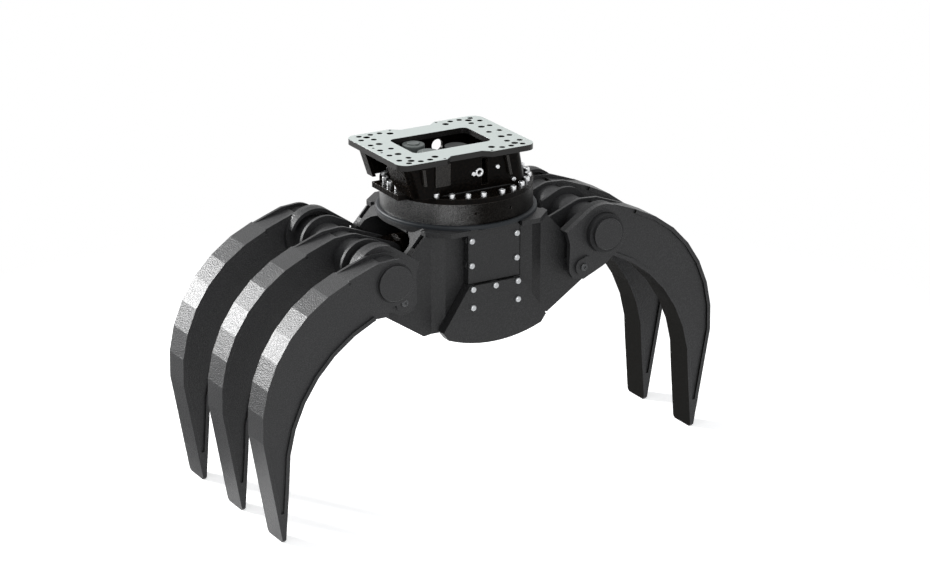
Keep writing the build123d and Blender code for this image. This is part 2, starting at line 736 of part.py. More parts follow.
def edge_groove(side):
    """Groove for the weld between the wing's slanted edge and the shoulder plate."""
    line = [(shoulder_x, deck_top), (shoulder_x + shoulder_reach * groove_share,
                                     deck_top - shoulder_drop * groove_share)]
    outline = shifted(line, overrun) + shifted(line, -weld_depth)[::-1]
    return flat([(side * x, z) for x, z in outline], -wing_inner - weld_groove, -wing_inner)


def hinge_bush(side_x, side_y):
    low, high = band(side_y, wing_inner, wing_half + boss_proud)
    bush = rod_y(side_x * hinge_x, hinge_z, pin_radius + bush_wall, low, high)
    return bush - rod_y(side_x * hinge_x, hinge_z, pin_radius + run_gap, low - overrun, high + overrun)


def shoulder():
    """Slanted plate between the wings with an opening for the jaw's arms."""
    run = hypot(shoulder_reach, shoulder_drop)
    along_x, along_z = shoulder_reach / run, -shoulder_drop / run
    line = [(shoulder_x, deck_top), (shoulder_x + shoulder_reach, deck_top - shoulder_drop)]
    plate = flat(line + shifted(line, -shoulder_plate)[::-1], -wing_inner, wing_inner) - deck()
    plane = Plane((shoulder_x, 0, deck_top), x_dir=(along_x, 0, along_z), z_dir=(-along_z, 0, along_x))
    edge = arm_opening / 2
    leg = wing_inner - shoulder_leg
    share = shoulder_shares
    half = [(shoulder_strip, edge), (shoulder_strip + share[0] * shoulder_strip, edge + share[1] * edge),
            (shoulder_strip + share[2] * shoulder_strip, leg), (run * 2, leg)]
    outline = half + [(along, -y) for along, y in half[::-1]]
    cut = make_face(Polyline(outline, close=True))
    for side in (-1, 1):
        cut += Pos(shoulder_strip, side * (edge - ear_radius)) * Circle(ear_radius)
    return plate - extrude(plane * cut, amount=overrun, both=True)


def deck():
    """Deck under the slewing ring with hose openings and the union's bore."""
    notch = cover_half + cover_play
    half = [(notch, -centre_half), (notch, -deck_half), (deck_front_x, -deck_half),
            (deck_side_x, -deck_side_y), (deck_side_x, -wing_inner), (shoulder_x, -wing_inner)]
    half += [(x, -y) for x, y in half[::-1]]
    plate = level(half + [(-x, y) for x, y in half[::-1]], under_deck, deck_top)
    round_edge = rod_z(0, 0, ring_radius + collar_gap + collar_width, under_deck, deck_top)
    plate += round_edge & block(-deck_half * 2, deck_half * 2, -wing_inner, wing_inner, 0, deck_top)
    plate -= rod_z(0, 0, spindle_radius, 0, overall_height)
    port = rod_z(deck_port_circle, 0, deck_port_radius, 0, overall_height)
    for step in range(deck_port_count):
        plate -= Rot(0, 0, (step + 1 / 2) * 360 / deck_port_count) * port
    return plate


def collar():
    """Raised ring welded to the deck around the slewing ring."""
    inner = ring_radius + collar_gap
    ring = rod_z(0, 0, inner + collar_width, deck_top, deck_top + collar_height)
    ring = fillet(ring.edges().filter_by(GeomType.CIRCLE).sort_by(Axis.Z)[-1], collar_width / 2)
    return ring - rod_z(0, 0, inner, 0, overall_height)


def belly():
    """Bottom plate, rising plates to the wings' toes and the two cross plates."""
    low = [(-belly_x, belly_z), (-belly_rise_x, belly_z + belly_rise), (belly_rise_x, belly_z + belly_rise),
           (belly_x, belly_z)]
    bottom = flat(low + [(x, z + belly_plate) for x, z in low[::-1]], -centre_half, centre_half)
    bottom = bottom - frame_side() - flip_y(frame_side())
    slope = (toe_z - belly_z) / (toe_x - belly_x)
    end_x = toe_x - belly_stop
    end_z = belly_z + (end_x - belly_x) * slope
    rise = [(belly_x, belly_z), (end_x, end_z), (end_x, end_z + belly_plate),
            (belly_x, belly_z + belly_plate)]
    rising = flat(rise, -wing_half + frame_plate, wing_inner)
    upright = block(cross_x - cross_plate / 2, cross_x + cross_plate / 2, -wing_half + frame_plate,
                    wing_inner, belly_z + belly_plate, hinge_z + cross_rise) - bottom
    pieces = [max(bottom.solids(), key=lambda solid: solid.volume), rising, flip_x(rising)]
    wall = max(upright.solids(), key=lambda solid: solid.volume)
    return pieces + [wall, flip_x(wall)]


def cover_points():
    return [(side * cover_bolt_x, z) for side in (-1, 1) for z in cover_bolt_heights]


def guard_points():
    corners = [(side * cover_bolt_x, z) for side in (-1, 1) for z in guard_bolt_heights]
    return corners + [(0, guard_bolt_heights[0])]


def boxed_cover(outline, face, points):
    """Cover with a turned-back rim and a pad on the frame at every bolt."""
    back = centre_half + cover_stand
    cover = flat(outline, -face, -back)
    sketch = make_face(Polyline([(x, 0, z) for x, z in outline], close=True))
    pocket = offset(sketch, amount=-cover_plate, kind=Kind.INTERSECTION)
    cover -= extrude(Pos(0, -face + cover_plate, 0) * pocket, amount=face, dir=(0, 1, 0))
    for x, z in points:
        cover += rod_y(x, z, cover_pad_radius, -face + cover_plate, -centre_half)
        cover -= rod_y(x, z, cover_bolt_radius, -face - overrun, 0)
    return cover


def upper_cover():
    outline = [(-cover_half, cover_low), (cover_half, cover_low), (cover_half, cover_high - cover_chamfer),
               (cover_half - cover_chamfer, cover_high), (-cover_half + cover_chamfer, cover_high),
               (-cover_half, cover_high - cover_chamfer)]
    cover = boxed_cover(outline, cover_face, cover_points())
    slot = [share * cover_half for share in cover_slot_shares]
    return cover - block(*slot, -guard_face, 0, cover_high - cover_slot, overall_height)


def lower_guard():
    radius = (guard_low_half ** 2 + guard_sag ** 2) / (2 * guard_sag)
    reach = degrees(atan2(guard_low_half, radius - guard_sag))
    centre_z = belly_z - guard_low_drop - guard_sag + radius
    belly_arc = arc_points(0, centre_z, radius, 270 - reach, 270 + reach, arc_steps)
    outline = [(-cover_half, guard_top), (-guard_half, belly_z + guard_side)] + belly_arc
    outline += [(guard_half, belly_z + guard_side), (cover_half, guard_top)]
    return boxed_cover(outline, guard_face, guard_points())


def dome_bolt(x, z, face):
    """Round-head bolt along y that runs through the cover into the frame."""
    head = rod_y(x, z, cover_head_radius, -face - cover_head, -face)
    head = fillet(head.edges().filter_by(GeomType.CIRCLE).sort_by(Axis.Y)[0], cover_head * 2 / 3)
    return head + rod_y(x, z, cover_bolt_radius, -face, -centre_half + frame_plate)


def save_frame():
    """Welded body: it carries both jaws and hangs from the slewing ring."""
    save("frame_front_plate", frame_side())
    save("frame_rear_plate", flip_y(frame_side()))
    save("hinge_bushes", *[hinge_bush(sx, sy) for sx in (-1, 1) for sy in (-1, 1)])
    save("shoulder_plates", shoulder(), flip_x(shoulder()))
    save("deck_plate", deck())
    save("deck_collar", collar())
    save("frame_cross_plates", *belly())
    save("front_upper_cover", upper_cover())
    save("front_lower_guard", lower_guard())
    save("rear_upper_cover", flip_y(upper_cover()))
    save("rear_lower_guard", flip_y(lower_guard()))
    bolts = [dome_bolt(x, z, cover_face) for x, z in cover_points()]
    bolts += [dome_bolt(x, z, guard_face) for x, z in guard_points()]
    save("cover_bolts", *bolts, *[flip_y(bolt) for bolt in bolts])


def involute(pitch, radius):
    """Involute of a flank at a radius, from its pitch radius."""
    roll = acos(min(pitch * cos(radians(pressure_angle)) / radius, 1))
    return tan(roll) - roll


def tooth_outline(teeth, reach_out, reach_in, play, start):
    """Closed outline of a toothed wheel, its first tooth at an angle in radians."""
    pitch = gear_module * teeth / 2
    radii = [pitch - reach_in + (reach_out + reach_in) * share for share in flank_shares]
    points = []
    for tooth in range(teeth):
        middle = start + 2 * pi * tooth / teeth
        halves = [pi / (2 * teeth) - play / pitch + involute(pitch, pitch) - involute(pitch, radius)
                  for radius in radii]
        rising = [(radius, middle - half) for radius, half in zip(radii, halves)]
        falling = [(radius, middle + half) for radius, half in zip(radii[::-1], halves[::-1])]
        points += [(radius * cos(angle), radius * sin(angle)) for radius, angle in rising + falling]
    return points


def motor_places():
    turn = 2 * pi * motor_step / gear_teeth
    distance = gear_module * (gear_teeth - pinion_teeth) / 2
    return [(distance * cos(pi + side * turn), distance * sin(pi + side * turn), pi + side * turn)
            for side in (1, -1)]


def groove(radius_low, radius_high):
    """Roller groove between the two rings."""
    middle = (ring_low + gear_high) / 2
    half = roller_radius + roller_gap
    return rod_z(0, 0, radius_high, middle - half, middle + half) - rod_z(0, 0, radius_low, 0, overall_height)


def save_ring():
    """Slewing ring: outer ring under the adapter, geared inner ring on the deck."""
    reach = roller_radius + roller_gap
    outer = rod_z(0, 0, ring_radius, ring_low, ring_high)
    outer -= rod_z(0, 0, race_radius + race_gap / 2, 0, overall_height)
    outer -= groove(race_radius - reach, race_radius + reach)
    inner = rod_z(0, 0, race_radius - race_gap / 2, deck_top, gear_high)
    spaces = tooth_outline(gear_teeth, gear_module + gear_clearance, gear_addendum, -tooth_play / 4, pi)
    inner -= level(spaces, 0, overall_height)
    inner -= groove(race_radius - reach, race_radius + reach)
    middle = (ring_low + gear_high) / 2
    roller = rod_z(race_radius, 0, roller_radius, middle - roller_radius, middle + roller_radius)
    rollers = [Rot(0, 0, step * 360 / roller_count) * roller for step in range(roller_count)]
    outer -= ring_bolt_holes()
    outer = outer - Compound(children=grease_points(nipple_hole))
    save("slewing_outer_ring", outer)
    save("grease_nipples", *grease_points(nipple_radius))
    save("slewing_gear_ring", inner)
    save("slewing_rollers", *rollers)
    save("ring_bolts", *[ring_bolt(angle) for angle in bolt_angles()])


def grease_points(radius):
    """Short bars into the outer ring's side: its grease holes, or the nipples sunk in them."""
    seat = ring_radius - nipple_depth
    sunk = nipple_head if radius < nipple_hole else nipple_head + overrun
    bar = rod_x(0, ring_low + nipple_share * ring_height, radius, seat, seat + sunk)
    return [Rot(0, 0, angle) * bar for angle in nipple_angles]


def bolt_angles():
    """Bolts of the outer ring, with a wider step at front and back."""
    half = bolt_count // 2
    step = (180 - bolt_middle) / (half - 1)
    right = [-90 + bolt_middle / 2 + step * index for index in range(half)]
    return right + [180 + angle for angle in right]


def ring_bolt(angle):
    x, y = bolt_circle * cos(radians(angle)), bolt_circle * sin(radians(angle))
    bolt = rod_z(x, y, ring_head_radius, seat_high, seat_high + ring_head)
    bolt = chamfer(bolt.edges().filter_by(GeomType.CIRCLE).sort_by(Axis.Z)[-1], ring_head / 10)
    socket = extrude(RegularPolygon(ring_head_radius / 2, 6), -ring_head / 2)
    bolt -= Pos(x, y, seat_high + ring_head) * socket
    return bolt + rod_z(x, y, ring_bolt_radius, ring_high - ring_bolt_depth, seat_high)


def ring_bolt_holes():
    holes = [rod_z(bolt_circle * cos(radians(angle)), bolt_circle * sin(radians(angle)), ring_bolt_radius,
                   ring_high - ring_bolt_depth, overall_height) for angle in bolt_angles()]
    return Compound(children=holes)


def base_flange():
    """Flange on the outer ring, round with a squared tab at the left."""
    plate = rod_z(0, 0, ring_radius, ring_high, seat_high)
    plate &= block(-base_flat, ring_radius, -ring_radius, ring_radius, ring_high, seat_high)
    plate += block(-base_left, 0, -base_left_half, base_left_half, ring_high, seat_high)
    plate -= rod_z(0, 0, union_radius, 0, overall_height)
    for x, y, angle in motor_places():
        plate -= rod_z(x, y, motor_radius, 0, overall_height)
    return plate - ring_bolt_holes()


def housing_shell(inset):
    """Space within the leaning walls, smaller by an inset; its left rear edge stays sharp."""
    outline = [(-housing_left_low + inset, seat_high), (housing_right_low - inset, seat_high),
               (housing_right_top - inset, plate_under), (-housing_left_top + inset, plate_under)]
    shape = flat(outline, -housing_half + inset, housing_half - inset)
    middle = (seat_high + plate_under) / 2
    uprights = [edge for edge in shape.edges() if abs(edge.center().Z - middle) < housing_height / 4
                and abs(edge.center().Y) > housing_half / 2
                and (edge.center().X > 0 or edge.center().Y < 0)]
    return fillet(uprights, housing_corner - inset)


def save_housing():
    """Four leaning walls between the base flange and the adapter plate."""
    shell = housing_shell(0) - housing_shell(housing_wall)
    reach = overall_height
    for angle in bolt_angles():
        x, y = bolt_circle * cos(radians(angle)), bolt_circle * sin(radians(angle))
        shell -= rod_z(x, y, ring_head_radius + head_room, seat_high, seat_high + ring_head + head_room)
    front = shell & block(-reach, reach, -reach, -wall_split, 0, reach)
    front -= block(slot_x - slot_width / 2, slot_x + slot_width / 2, -reach, 0,
                   seat_high + slot_lift, plate_under - slot_drop)
    (port, port_z) = wall_spot(*wall_port_share)
    front -= rod_y(port, port_z, wall_port_bore, -reach, 0)
    rear = shell & block(-reach, reach, wall_split, reach, 0, reach)
    rear -= rod_y(port_x, plate_under - port_drop, port_radius, 0, reach)
    ends = shell & block(-reach, reach, -wall_split, wall_split, 0, reach)
    ends -= block(-reach, 0, -side_front, wall_split, 0, reach)
    left, right = sorted(ends.solids(), key=lambda solid: solid.center().X)
    save("adapter_side_walls", front, rear)
    save("adapter_end_walls", left, right)
    save("adapter_base_flange", base_flange())
    save("adapter_wall_ribs", *[wall_rib(*share) for share in rib_shares], wall_pad())
    save("hose_fittings", *hose_fittings())


def wall_spot(across_share, up_share):
    """Place on the front wall from shares of its half width and height."""
    return across_share * housing_half, seat_high + up_share * housing_height


def wall_rib(top_across, top_up, low_across, low_up):
    """Leaning rib on the front wall, given by its upper and lower end."""
    (top_x, top_z), (low_x, low_z) = wall_spot(top_across, top_up), wall_spot(low_across, low_up)
    outline = [(top_x, top_z), (top_x + rib_width, top_z), (low_x + rib_width, low_z), (low_x, low_z)]
    return flat(outline, -housing_half - rib_proud, -housing_half)


def wall_pad():
    left, right, low, high = pad_shares
    (x_low, z_low), (x_high, z_high) = wall_spot(left, low), wall_spot(right, high)
    return block(x_low, x_high, -housing_half - pad_proud, -housing_half, z_low, z_high)


def hose_fittings():
    """Round plugs and a port on the front wall, and stub ports around the rotary union."""
    x, z = wall_spot(*wall_port_share)
    ring = rod_y(x, z, wall_port_radius, -housing_half - wall_port_length, -housing_half)
    pieces = [ring - rod_y(x, z, wall_port_bore, -housing_half - overrun, 0)]
    for share in wall_fitting_shares:
        x, z = wall_spot(*share)
        plug = rod_y(x, z, wall_fitting_radius, -housing_half - wall_fitting_length, -housing_half)
        rim = plug.edges().filter_by(GeomType.CIRCLE).sort_by(Axis.Y)[0]
        pieces.append(chamfer(rim, wall_fitting_radius / 4))
    for step in range(union_port_count):
        z = seat_high + union_port_lift + step * union_port_pitch
        stub = rod_x(0, z, union_port_radius, union_radius, union_radius + union_port_length)
        stub += rod_x(0, z, union_port_radius * 4 / 3, union_radius + union_port_length / 2,
                      union_radius + union_port_length)
        pieces.append(stub)
        pieces.append(Rot(0, 0, 90) * stub)
    return pieces


def adapter_plate():
    """Top plate bolted under the carrier, with waisted long edges."""
    half_x, half_y = plate_length / 2, plate_width / 2
    plate = Box(plate_length, plate_width, plate_thick)
    plate = fillet(plate.edges().filter_by(Axis.Z), plate_corner)
    window = Box(window_length, window_width, plate_thick + overrun)
    plate -= fillet(window.edges().filter_by(Axis.Z), window_corner)
    waist = [(-recess_half - recess_slope, half_y + overrun), (-recess_half - recess_slope, half_y),
             (-recess_half, half_y - recess_depth), (recess_half, half_y - recess_depth),
             (recess_half + recess_slope, half_y), (recess_half + recess_slope, half_y + overrun)]
    cut = level(waist, -overrun, overrun)
    plate = plate - cut - flip_y(cut)
    for x, y, radius in plate_holes():
        plate -= rod_z(x, y, radius, -overrun, overrun)
    return Pos(-plate_shift, 0, overall_height - plate_thick / 2) * plate


def plate_holes():
    """Hole patterns of the top plate, about its centre."""
    bolts = [(corner_row, edge_line), (third_row, edge_line), (fourth_row, edge_line),
             (end_row, outer_line_y), (second_row, middle_line), (end_row, inner_line_y),
             (end_row, 0), (second_row, 0)]
    wides = [(wide_row, wide_line), (wide_row_inner, wide_line), (wide_row, inner_line_y)]
    fours = [(x, y, bolt_hole) for x, y in bolts] + [(x, y, wide_hole) for x, y in wides]
    fours.append((small_row, small_line, small_hole))
    spots = {(sx * x, sy * y, r) for x, y, r in fours for sx in (-1, 1) for sy in (-1, 1)}
    return sorted(spots) + [(-left_row, y, small_hole) for y in (left_line, -left_line_low)]


def slew_motor(x, y):
    """Gearbox and motor in one upright housing, seated on the base flange."""
    top = overall_height - motor_drop
    rim_high = top - motor_disc
    neck = seat_high + motor_neck
    body = rod_z(x, y, motor_radius, ring_high, neck)
    body += rod_z(x, y, motor_flange_radius, seat_high, seat_high + motor_flange)
    body += rod_z(x, y, motor_radius - motor_shoulder, neck, rim_high - motor_cap)
    cap = rod_z(x, y, motor_radius, rim_high - motor_cap, rim_high)
    cap = fillet(cap.edges().filter_by(GeomType.CIRCLE).sort_by(Axis.Z)[-1], motor_cap / 5)
    disc = rod_z(x, y, motor_disc_radius, rim_high, top)
    disc = chamfer(disc.edges().filter_by(GeomType.CIRCLE).sort_by(Axis.Z)[-1], motor_disc / 4)
    return body + cap + disc - rod_z(x, y, shaft_radius + run_gap, 0, ring_high + shaft_reach)


def drive_pinion(x, y, angle):
    outline = tooth_outline(pinion_teeth, gear_module, gear_module + gear_clearance, tooth_play / 4, angle)
    top = gear_high - pinion_drop
    pinion = level(outline, deck_top + pinion_lift, top)
    shaft = rod_z(0, 0, shaft_radius, top, ring_high + shaft_reach - side_gap)
    return Pos(x, y, 0) * (pinion + shaft)


def save_drive():
    """Two slew motors, their pinions and the rotary union between them."""
    places = motor_places()
    save("slew_motors", *[slew_motor(x, y) for x, y, angle in places])
    save("front_drive_pinion", drive_pinion(*min(places, key=lambda place: place[1])))
    save("rear_drive_pinion", drive_pinion(*max(places, key=lambda place: place[1])))
    union_top = overall_height - union_drop
    body = rod_z(0, 0, union_radius, ring_high, union_top)
    body += rod_z(0, 0, union_flange_radius, seat_high, seat_high + union_flange)
    body -= rod_z(0, 0, spindle_radius + slide_gap, 0, union_top - union_roof)
    spindle = rod_z(0, 0, spindle_radius, under_deck, union_top - union_roof - side_gap)
    spindle += rod_z(0, 0, spindle_flange_radius, deck_top, deck_top + spindle_flange)
    save("rotary_union_body", body)
    save("rotary_union_spindle", spindle)


os.makedirs("parts", exist_ok=True)
save_jaws()
cylinder_parts()
save_frame()
save_ring()
save_housing()
save("adapter_plate", adapter_plate())
save_drive()
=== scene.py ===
import math
import bmesh
import bpy
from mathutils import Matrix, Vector


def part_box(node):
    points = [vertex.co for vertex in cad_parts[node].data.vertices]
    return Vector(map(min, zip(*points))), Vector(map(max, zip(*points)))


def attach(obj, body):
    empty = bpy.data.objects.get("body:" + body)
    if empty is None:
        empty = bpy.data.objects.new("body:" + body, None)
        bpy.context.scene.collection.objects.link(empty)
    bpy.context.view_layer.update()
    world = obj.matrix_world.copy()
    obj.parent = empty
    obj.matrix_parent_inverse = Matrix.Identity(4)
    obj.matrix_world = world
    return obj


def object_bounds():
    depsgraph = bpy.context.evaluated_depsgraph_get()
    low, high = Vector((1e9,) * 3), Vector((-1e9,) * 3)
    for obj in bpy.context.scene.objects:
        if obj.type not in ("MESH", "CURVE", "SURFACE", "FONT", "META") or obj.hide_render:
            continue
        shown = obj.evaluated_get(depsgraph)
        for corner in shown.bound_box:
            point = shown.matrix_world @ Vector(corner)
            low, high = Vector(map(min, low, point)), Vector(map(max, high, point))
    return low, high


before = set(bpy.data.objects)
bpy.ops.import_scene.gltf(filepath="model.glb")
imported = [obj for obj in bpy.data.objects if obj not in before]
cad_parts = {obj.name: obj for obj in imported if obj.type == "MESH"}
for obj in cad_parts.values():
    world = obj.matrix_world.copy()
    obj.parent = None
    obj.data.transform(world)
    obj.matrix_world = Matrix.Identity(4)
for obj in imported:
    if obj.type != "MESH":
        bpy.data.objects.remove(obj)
cad_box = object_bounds()

# Camera: a long lens from the front left and a little above the grapple,
# with the whole reach of the open jaws in the picture.
lens_length, sensor_width = 115.21, 36.0                # millimetres
camera_place = (-5.2744, -9.1776, 3.2387)
camera_tilt, camera_turn = 70.22, -30.38                # degrees, up from straight down and about z
camera_reach = 100.0
eye = bpy.data.cameras.new("camera")
eye.lens = lens_length
eye.sensor_width = sensor_width
eye.clip_end = camera_reach
camera = bpy.data.objects.new("camera", eye)
camera.location = camera_place
camera.rotation_euler = (math.radians(camera_tilt), 0.0, math.radians(camera_turn))
bpy.context.scene.collection.objects.link(camera)
bpy.context.scene.camera = camera
bpy.context.scene.view_settings.view_transform = "Standard"

# Floor: a pale matte studio floor just under the tips of the tines. It keeps the grapple's
# shadow and fades out into the white surround. Behind the left jaw, glossy rays see it dark
# grey, which paints a dim reflection on the lower facets of the tines.
floor_half = 40.0
floor_gap = 0.0005
floor_grey, floor_dark = (0.86, 0.86, 0.86, 1.0), (0.20, 0.20, 0.20, 1.0)
floor_glow = 0.55
fade_start, fade_end = 1.6, 3.2                         # distance from the adapter plate
dim_left_start, dim_left_end = -0.75, -1.0              # the dim corner, along x
dim_back_start, dim_back_end = -0.05, 0.40              # and along y
floor_level = cad_box[0][2] - floor_gap
floor_mesh = bpy.data.meshes.new("studio_floor")
floor_mesh.from_pydata([(x * floor_half, y * floor_half, floor_level)
                        for x, y in ((-1, -1), (1, -1), (1, 1), (-1, 1))], [], [(0, 1, 2, 3)])
floor = bpy.data.objects.new("studio_floor", floor_mesh)
bpy.context.scene.collection.objects.link(floor)


def feed(tree, source, target):
    """Join a source to an input, or set the input where the source is a plain value."""
    if isinstance(source, bpy.types.NodeSocket):
        tree.links.new(source, target)
    else:
        target.default_value = source


def worked_out(tree, operation, *values):
    """One step of arithmetic."""
    step = tree.nodes.new("ShaderNodeMath")
    step.operation = operation
    for value, target in zip(values, step.inputs):
        feed(tree, value, target)
    return step.outputs[0]


def ramp(tree, source, start, end, low=0.0, high=1.0, curve="LINEAR"):
    """A value that goes from low to high while its source goes from start to end."""
    climb = tree.nodes.new("ShaderNodeMapRange")
    climb.interpolation_type = curve
    ends = {"Value": source, "From Min": start, "From Max": end, "To Min": low, "To Max": high}
    for name, value in ends.items():
        feed(tree, value, climb.inputs[name])
    return climb.outputs["Result"]


def along_axes(tree, source):
    """A place or a direction, split into X, Y and Z."""
    split = tree.nodes.new("ShaderNodeSeparateXYZ")
    tree.links.new(source, split.inputs[0])
    return split.outputs


def plain_shader(tree, kind, **values):
    """A shader with nothing joined to it."""
    made = tree.nodes.new(kind)
    for name, value in values.items():
        made.inputs[name].default_value = value
    return made.outputs[0]


def picked_shader(tree, factor, first, second):
    """The first shader where the factor is nothing, the second where it is one."""
    pick = tree.nodes.new("ShaderNodeMixShader")
    for source, target in zip((factor, first, second), pick.inputs):
        tree.links.new(source, target)
    return pick.outputs[0]


def seen_white(tree, path):
    """One for rays of the eye, of polished metal and of glass, which see the pale surround."""
    eye_or_metal = worked_out(tree, "MAXIMUM", path.outputs["Is Camera Ray"], path.outputs["Is Glossy Ray"])
    return worked_out(tree, "MAXIMUM", eye_or_metal, path.outputs["Is Transmission Ray"])


floor_paint = bpy.data.materials.new("pale_floor")
floor_paint.use_nodes = True
floor_tree = floor_paint.node_tree
floor_tree.nodes.clear()
floor_place = floor_tree.nodes.new("ShaderNodeTexCoord").outputs["Object"]
floor_reach = floor_tree.nodes.new("ShaderNodeVectorMath")
floor_reach.operation = "LENGTH"
floor_tree.links.new(floor_place, floor_reach.inputs[0])
floor_fade = ramp(floor_tree, floor_reach.outputs["Value"], fade_start, fade_end, curve="SMOOTHSTEP")
floor_near = floor_tree.nodes.new("ShaderNodeAddShader")
floor_matt = plain_shader(floor_tree, "ShaderNodeBsdfDiffuse", Color=floor_grey)
floor_tree.links.new(floor_matt, floor_near.inputs[0])
floor_lift = plain_shader(floor_tree, "ShaderNodeEmission", Strength=floor_glow)
floor_tree.links.new(floor_lift, floor_near.inputs[1])
floor_white = plain_shader(floor_tree, "ShaderNodeEmission")
floor_seen = picked_shader(floor_tree, floor_fade, floor_near.outputs[0], floor_white)
floor_axes = along_axes(floor_tree, floor_place)
# glossy rays see the floor dark behind the left jaw: a painted dim reflection on the tines
dim_left = ramp(floor_tree, floor_axes["X"], dim_left_start, dim_left_end, curve="SMOOTHSTEP")
dim_back = ramp(floor_tree, floor_axes["Y"], dim_back_start, dim_back_end, curve="SMOOTHSTEP")
dim_corner = worked_out(floor_tree, "MULTIPLY", dim_left, dim_back)
floor_path = floor_tree.nodes.new("ShaderNodeLightPath")
dim_mirrored = worked_out(floor_tree, "MULTIPLY", dim_corner, floor_path.outputs["Is Glossy Ray"])
kept_bright = worked_out(floor_tree, "SUBTRACT", 1.0, dim_mirrored)
bright_rays = worked_out(floor_tree, "MULTIPLY", seen_white(floor_tree, floor_path), kept_bright)
floor_dim = plain_shader(floor_tree, "ShaderNodeBsdfDiffuse", Color=floor_dark)
floor_shown = picked_shader(floor_tree, bright_rays, floor_dim, floor_seen)
floor_out = floor_tree.nodes.new("ShaderNodeOutputMaterial")
floor_tree.links.new(floor_shown, floor_out.inputs["Surface"])
floor_mesh.materials.append(floor_paint)

# Surround: an endless white studio. The eye and polished metal see it white,
# and everything else gets a soft and slightly cool light from it.
surround_white = (1.0, 1.0, 1.0, 1.0)
surround_soft, soft_strength = (0.95, 0.97, 1.0, 1.0), 0.40
world = bpy.data.worlds.new("studio")
bpy.context.scene.world = world
world.use_nodes = True
world_tree = world.node_tree
world_tree.nodes.clear()
world_soft = plain_shader(world_tree, "ShaderNodeBackground", Color=surround_soft, Strength=soft_strength)
world_white = plain_shader(world_tree, "ShaderNodeBackground", Color=surround_white)
world_rays = seen_white(world_tree, world_tree.nodes.new("ShaderNodeLightPath"))
world_shown = picked_shader(world_tree, world_rays, world_soft, world_white)
world_out = world_tree.nodes.new("ShaderNodeOutputWorld")
world_tree.links.new(world_shown, world_out.inputs["Surface"])


# Lamps: one broad soft box at the front, one overhead, and a strong one behind the left jaw
# that glances off the outer faces of its tines. All three give white light.
def soft_box(name, place, aim, width, height, power):
    """A bright rectangle that faces its aim, with its power in watts."""
    lamp = bpy.data.lights.new(name, "AREA")
    lamp.shape = "RECTANGLE"
    lamp.size = width
    lamp.size_y = height
    lamp.energy = power
    stand = bpy.data.objects.new(name, lamp)
    stand.location = place
    stand.rotation_euler = (Vector(aim) - Vector(place)).to_track_quat("-Z", "Y").to_euler()
    bpy.context.scene.collection.objects.link(stand)


soft_box("front_box", place=(-2.0, -7.5, 1.8), aim=(0.0, 0.0, -0.6), width=3.5, height=3.0, power=225.0)
soft_box("top_box", place=(-0.5, 0.5, 5.5), aim=(0.0, 0.0, -0.4), width=3.5, height=3.5, power=110.0)
soft_box("left_strip", place=(-4.6, 6.2, 1.6), aim=(-0.8, 0.0, -0.6), width=1.4, height=1.8, power=1220.0)

# Adapter plate: a flame-cut steel plate, drilled with the carriers' bolt patterns and welded
# on the adapter's walls. Its top is in matte light grey-green primer, and every face that
# doesn't face up is gloss black, as painted shade on its sides and in its window.
relief_depth = 0.0015                                   # height of the grain at full bump
level_start, level_full = 0.90, 0.98                    # z of the normal, from no primer to all
# gloss black for every face that doesn't face up: painted shade on the plate's sides
side_shade_black, side_shade_rough = (0.010, 0.0095, 0.009, 1.0), 0.22


def noise(tree, place, scale, detail):
    """An uneven value over a surface."""
    cloud = tree.nodes.new("ShaderNodeTexNoise")
    for name, value in (("Vector", place), ("Scale", scale), ("Detail", detail)):
        feed(tree, value, cloud.inputs[name])
    return cloud.outputs["Fac"]


def mixed(tree, kind, factor, first, second):
    """Two values (FLOAT) or two colours (RGBA), blended by a factor."""
    blend = tree.nodes.new("ShaderNodeMix")
    blend.data_type = kind
    for name, value in (("Factor", factor), ("A", first), ("B", second)):
        feed(tree, value, blend.inputs[name])
    return blend.outputs["Result"]


